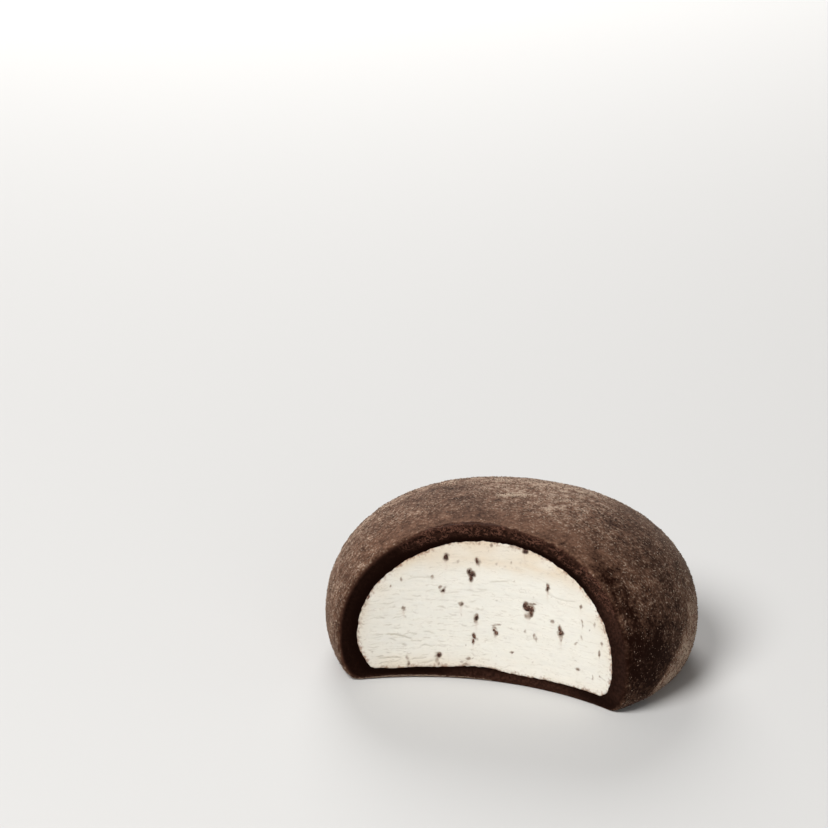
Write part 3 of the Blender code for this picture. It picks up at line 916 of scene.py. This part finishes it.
def makeIceCream():
    rimTurns, rimReach = faceRim()
    across, height, edge = faceGrid(rimTurns, rimReach)
    rimGap = rimDistance(across, height, edge)
    lumps = allCrumbs(rimTurns, rimReach)
    flat = np.stack([across, height, 0.0 * across], axis=-1)
    layers, lines = draggedLayers(flat)
    cracked = longCracks(across / mm, height / mm)
    # the layers are strongest low on the left
    strong = 0.35 + 0.55 * smooth(6.0 * mm, -9.0 * mm, across) * smooth(16.0 * mm, 9.0 * mm, height)
    pits, marks = faceMarks(flat, rimGap, lumps)
    out = iceCream["waviness"] * (noiseA(flat, (7.0, 2.6, 1.0)) + 0.4 * noiseC(flat, (2.4, 0.8, 1.0)))
    out = out + iceCream["grain"] * noiseB(flat, 0.42) + layers * strong
    out = out - iceCream["pitDepth"] * pits - iceCream["crackDepth"] * cracked
    rimShare = 1.0 - smooth(-0.4 * iceCream["rimRound"], iceCream["rimRound"], rimGap)
    face = biteSurface(across, height, out * mm - iceCream["rimDip"] * rimShare)
    points, faces = closeBehind(face)
    piece = meshObject("iceCreamCore", points, faces, iceCreamMaterial())
    # layer lines and cracks darken the colour too: painted shade in the grooves
    marks["lines"] = np.maximum(lines * strong, cracked)
    for name, values in marks.items():
        paintValue(piece, name, values)
    return piece, lumps


def iceCreamMaterial():
    material, tree, shader = newMaterial("vanilla ice cream", iceCream["finish"])
    coords = objectCoords(tree)
    lines, smear, stainAndShade, halo, tanAndShade = (
        attributeNode(tree, name) for name in ("lines", "smear", "stainAndShade", "halo", "tanAndShade"))
    stretch = addNode(tree, "ShaderNodeMapping", Scale=(0.26, 0.26, 1.0))
    tree.links.new(coords, stretch.inputs["Vector"])
    bands = noiseNode(tree, stretch.outputs["Vector"], 0.70, 3.0, 0.6)
    threads = noiseNode(tree, stretch.outputs["Vector"], 0.34, 1.0, 0.5)
    fine = noiseNode(tree, coords, 0.35, 2.0, 0.6)
    # thin stretched lines darkened with the crack colour: painted shade lines, also pressed into the bump
    shadedThread = mathNode(tree, "ABSOLUTE", mathNode(tree, "SUBTRACT", threads, 0.5))
    shadedThread = mathNode(tree, "MULTIPLY", rangeNode(tree, shadedThread, 0.035, 0.0),
                      rangeNode(tree, bands, 0.50, 0.62, 0.0, 0.30))
    frayed = mathNode(tree, "MULTIPLY_ADD", fine, 1.2, -0.6)
    frayed = rangeNode(tree, mathNode(tree, "ADD", stainAndShade, frayed), 0.15, 0.85)
    # one colour over the other, each by its own share
    colour = iceCream["cool"]
    for share, key in (
            (rangeNode(tree, bands, 0.35, 0.65), "colour"),
            (tanAndShade, "tanAndShade"),
            (mathNode(tree, "MULTIPLY_ADD", lines, 0.62, shadedThread), "crackShade"),
            (mathNode(tree, "MULTIPLY", smear, 0.8), "smear"),
            (mathNode(tree, "MULTIPLY", frayed, 0.9), "stainAndShade"),
            (rangeNode(tree, halo, 0.0, 0.65, 0.0, 0.85), "halo"),
            (rangeNode(tree, halo, 0.50, 1.10), "speck")):
        colour = mixColour(tree, share, colour, iceCream[key])
    tree.links.new(colour, shader.inputs["Base Color"])
    relief = mathNode(tree, "SUBTRACT", mathNode(tree, "ADD", fine, bands), shadedThread)
    addBump(tree, shader, relief, iceCream["bump"], iceCream["bumpDepth"])
    return material


def crumbMaterial():
    material, tree, shader = newMaterial("dark biscuit", crumbs["finish"])
    fine = noiseNode(tree, objectCoords(tree), 0.34, 2.0, 0.6)
    share = mathNode(tree, "MULTIPLY_ADD", fine, 1.4, -0.7)
    share = mathNode(tree, "ADD", attributeNode(tree, "dark"), share)
    darker = rangeNode(tree, share, 0.25, 0.80)
    paler = rangeNode(tree, share, 0.40, 0.0)
    colour = mixColour(tree, darker, crumbs["brown"], crumbs["dark"])
    colour = mixColour(tree, paler, colour, crumbs["pale"])
    tree.links.new(colour, shader.inputs["Base Color"])
    addBump(tree, shader, fine, crumbs["bump"], crumbs["bumpDepth"])
    return material


def ballShape():
    shape = bmesh.new()
    bmesh.ops.create_icosphere(shape, subdivisions=2, radius=1.0)
    points = np.array([vert.co[:] for vert in shape.verts])
    faces = np.array([[vert.index for vert in face.verts] for face in shape.faces])
    shape.free()
    return points, faces


def makeCrumbs(lumps):
    # the small and the faint ones are only stains, the others are lumps half covered by the ice cream
    draw = np.random.default_rng(crumbs["seed"] + 1)
    unit, unitFaces = ballShape()
    points, faces, tones = [], [], []
    leastDark, leastSize = crumbs["meshFrom"]
    solid = (lumps[:, 4] > leastDark) & (lumps[:, 2] * lumps[:, 3] > leastSize)
    for spotX, spotZ, width, tall, dark, tilt in lumps[solid]:
        half = 0.43 * np.array((width, 0.8 * min(width, tall), tall))
        place = draw.uniform(0.0, 90.0, 3) * mm
        rough = layeredNoise((noiseA, noiseB), unit * mm + place, crumbs["lumpiness"], 1.0)
        local = unit * rough[:, None] * half
        turn = math.radians(tilt)
        x = spotX + local[:, 0] * math.cos(turn) - local[:, 2] * math.sin(turn)
        z = spotZ + local[:, 2] * math.cos(turn) + local[:, 0] * math.sin(turn)
        sunk = 0.6 * half[1] + 0.5 * iceCream["pitDepth"]
        out = crumbs["proud"] * draw.uniform(0.3, 1.2) - sunk - local[:, 1]
        faces.append(unitFaces + len(unit) * len(points))
        points.append(biteSurface(x * mm, z * mm, out * mm))
        # paler where the ice cream covers them
        tones.append(dark * (0.40 + 0.60 * smooth(-0.06, 0.02, out)))
    faces = [tuple(int(corner) for corner in face) for face in np.concatenate(faces)]
    piece = meshObject("biscuitCrumbs", np.concatenate(points), faces, crumbMaterial())
    paintValue(piece, "dark", np.concatenate(tones))
    return piece


makeCamera()
makeStudio()
print("camera and light placed")

doughGrid, doughNormals, doughMarks = makeDough()
poles = np.stack([doughGrid[:, 0].mean(axis=0), doughGrid[:, -1].mean(axis=0)])
doughPoints = np.concatenate([doughGrid.reshape(-1, 3), poles])
mochiDough = meshObject("mochiDough", doughPoints, gridFaces(*doughGrid.shape[:2]), doughMaterial())
for name, values in doughMarks.items():
    paintValue(mochiDough, name, values)
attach(mochiDough, "root")
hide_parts("mochi_dough")
print("mochi dough made,", len(mochiDough.data.polygons), "faces")

starchGrains = makeGrains(doughGrid, doughNormals, doughMarks)
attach(starchGrains, "root")
print("starch scattered")

iceCreamCore, lumps = makeIceCream()
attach(iceCreamCore, "root")
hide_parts("ice_cream")
print("ice cream made,", len(iceCreamCore.data.polygons), "faces")

biscuitCrumbs = makeCrumbs(lumps)
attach(biscuitCrumbs, "root")
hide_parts("ice_cream")
print("crumbs made,", len(biscuitCrumbs.data.polygons), "faces")
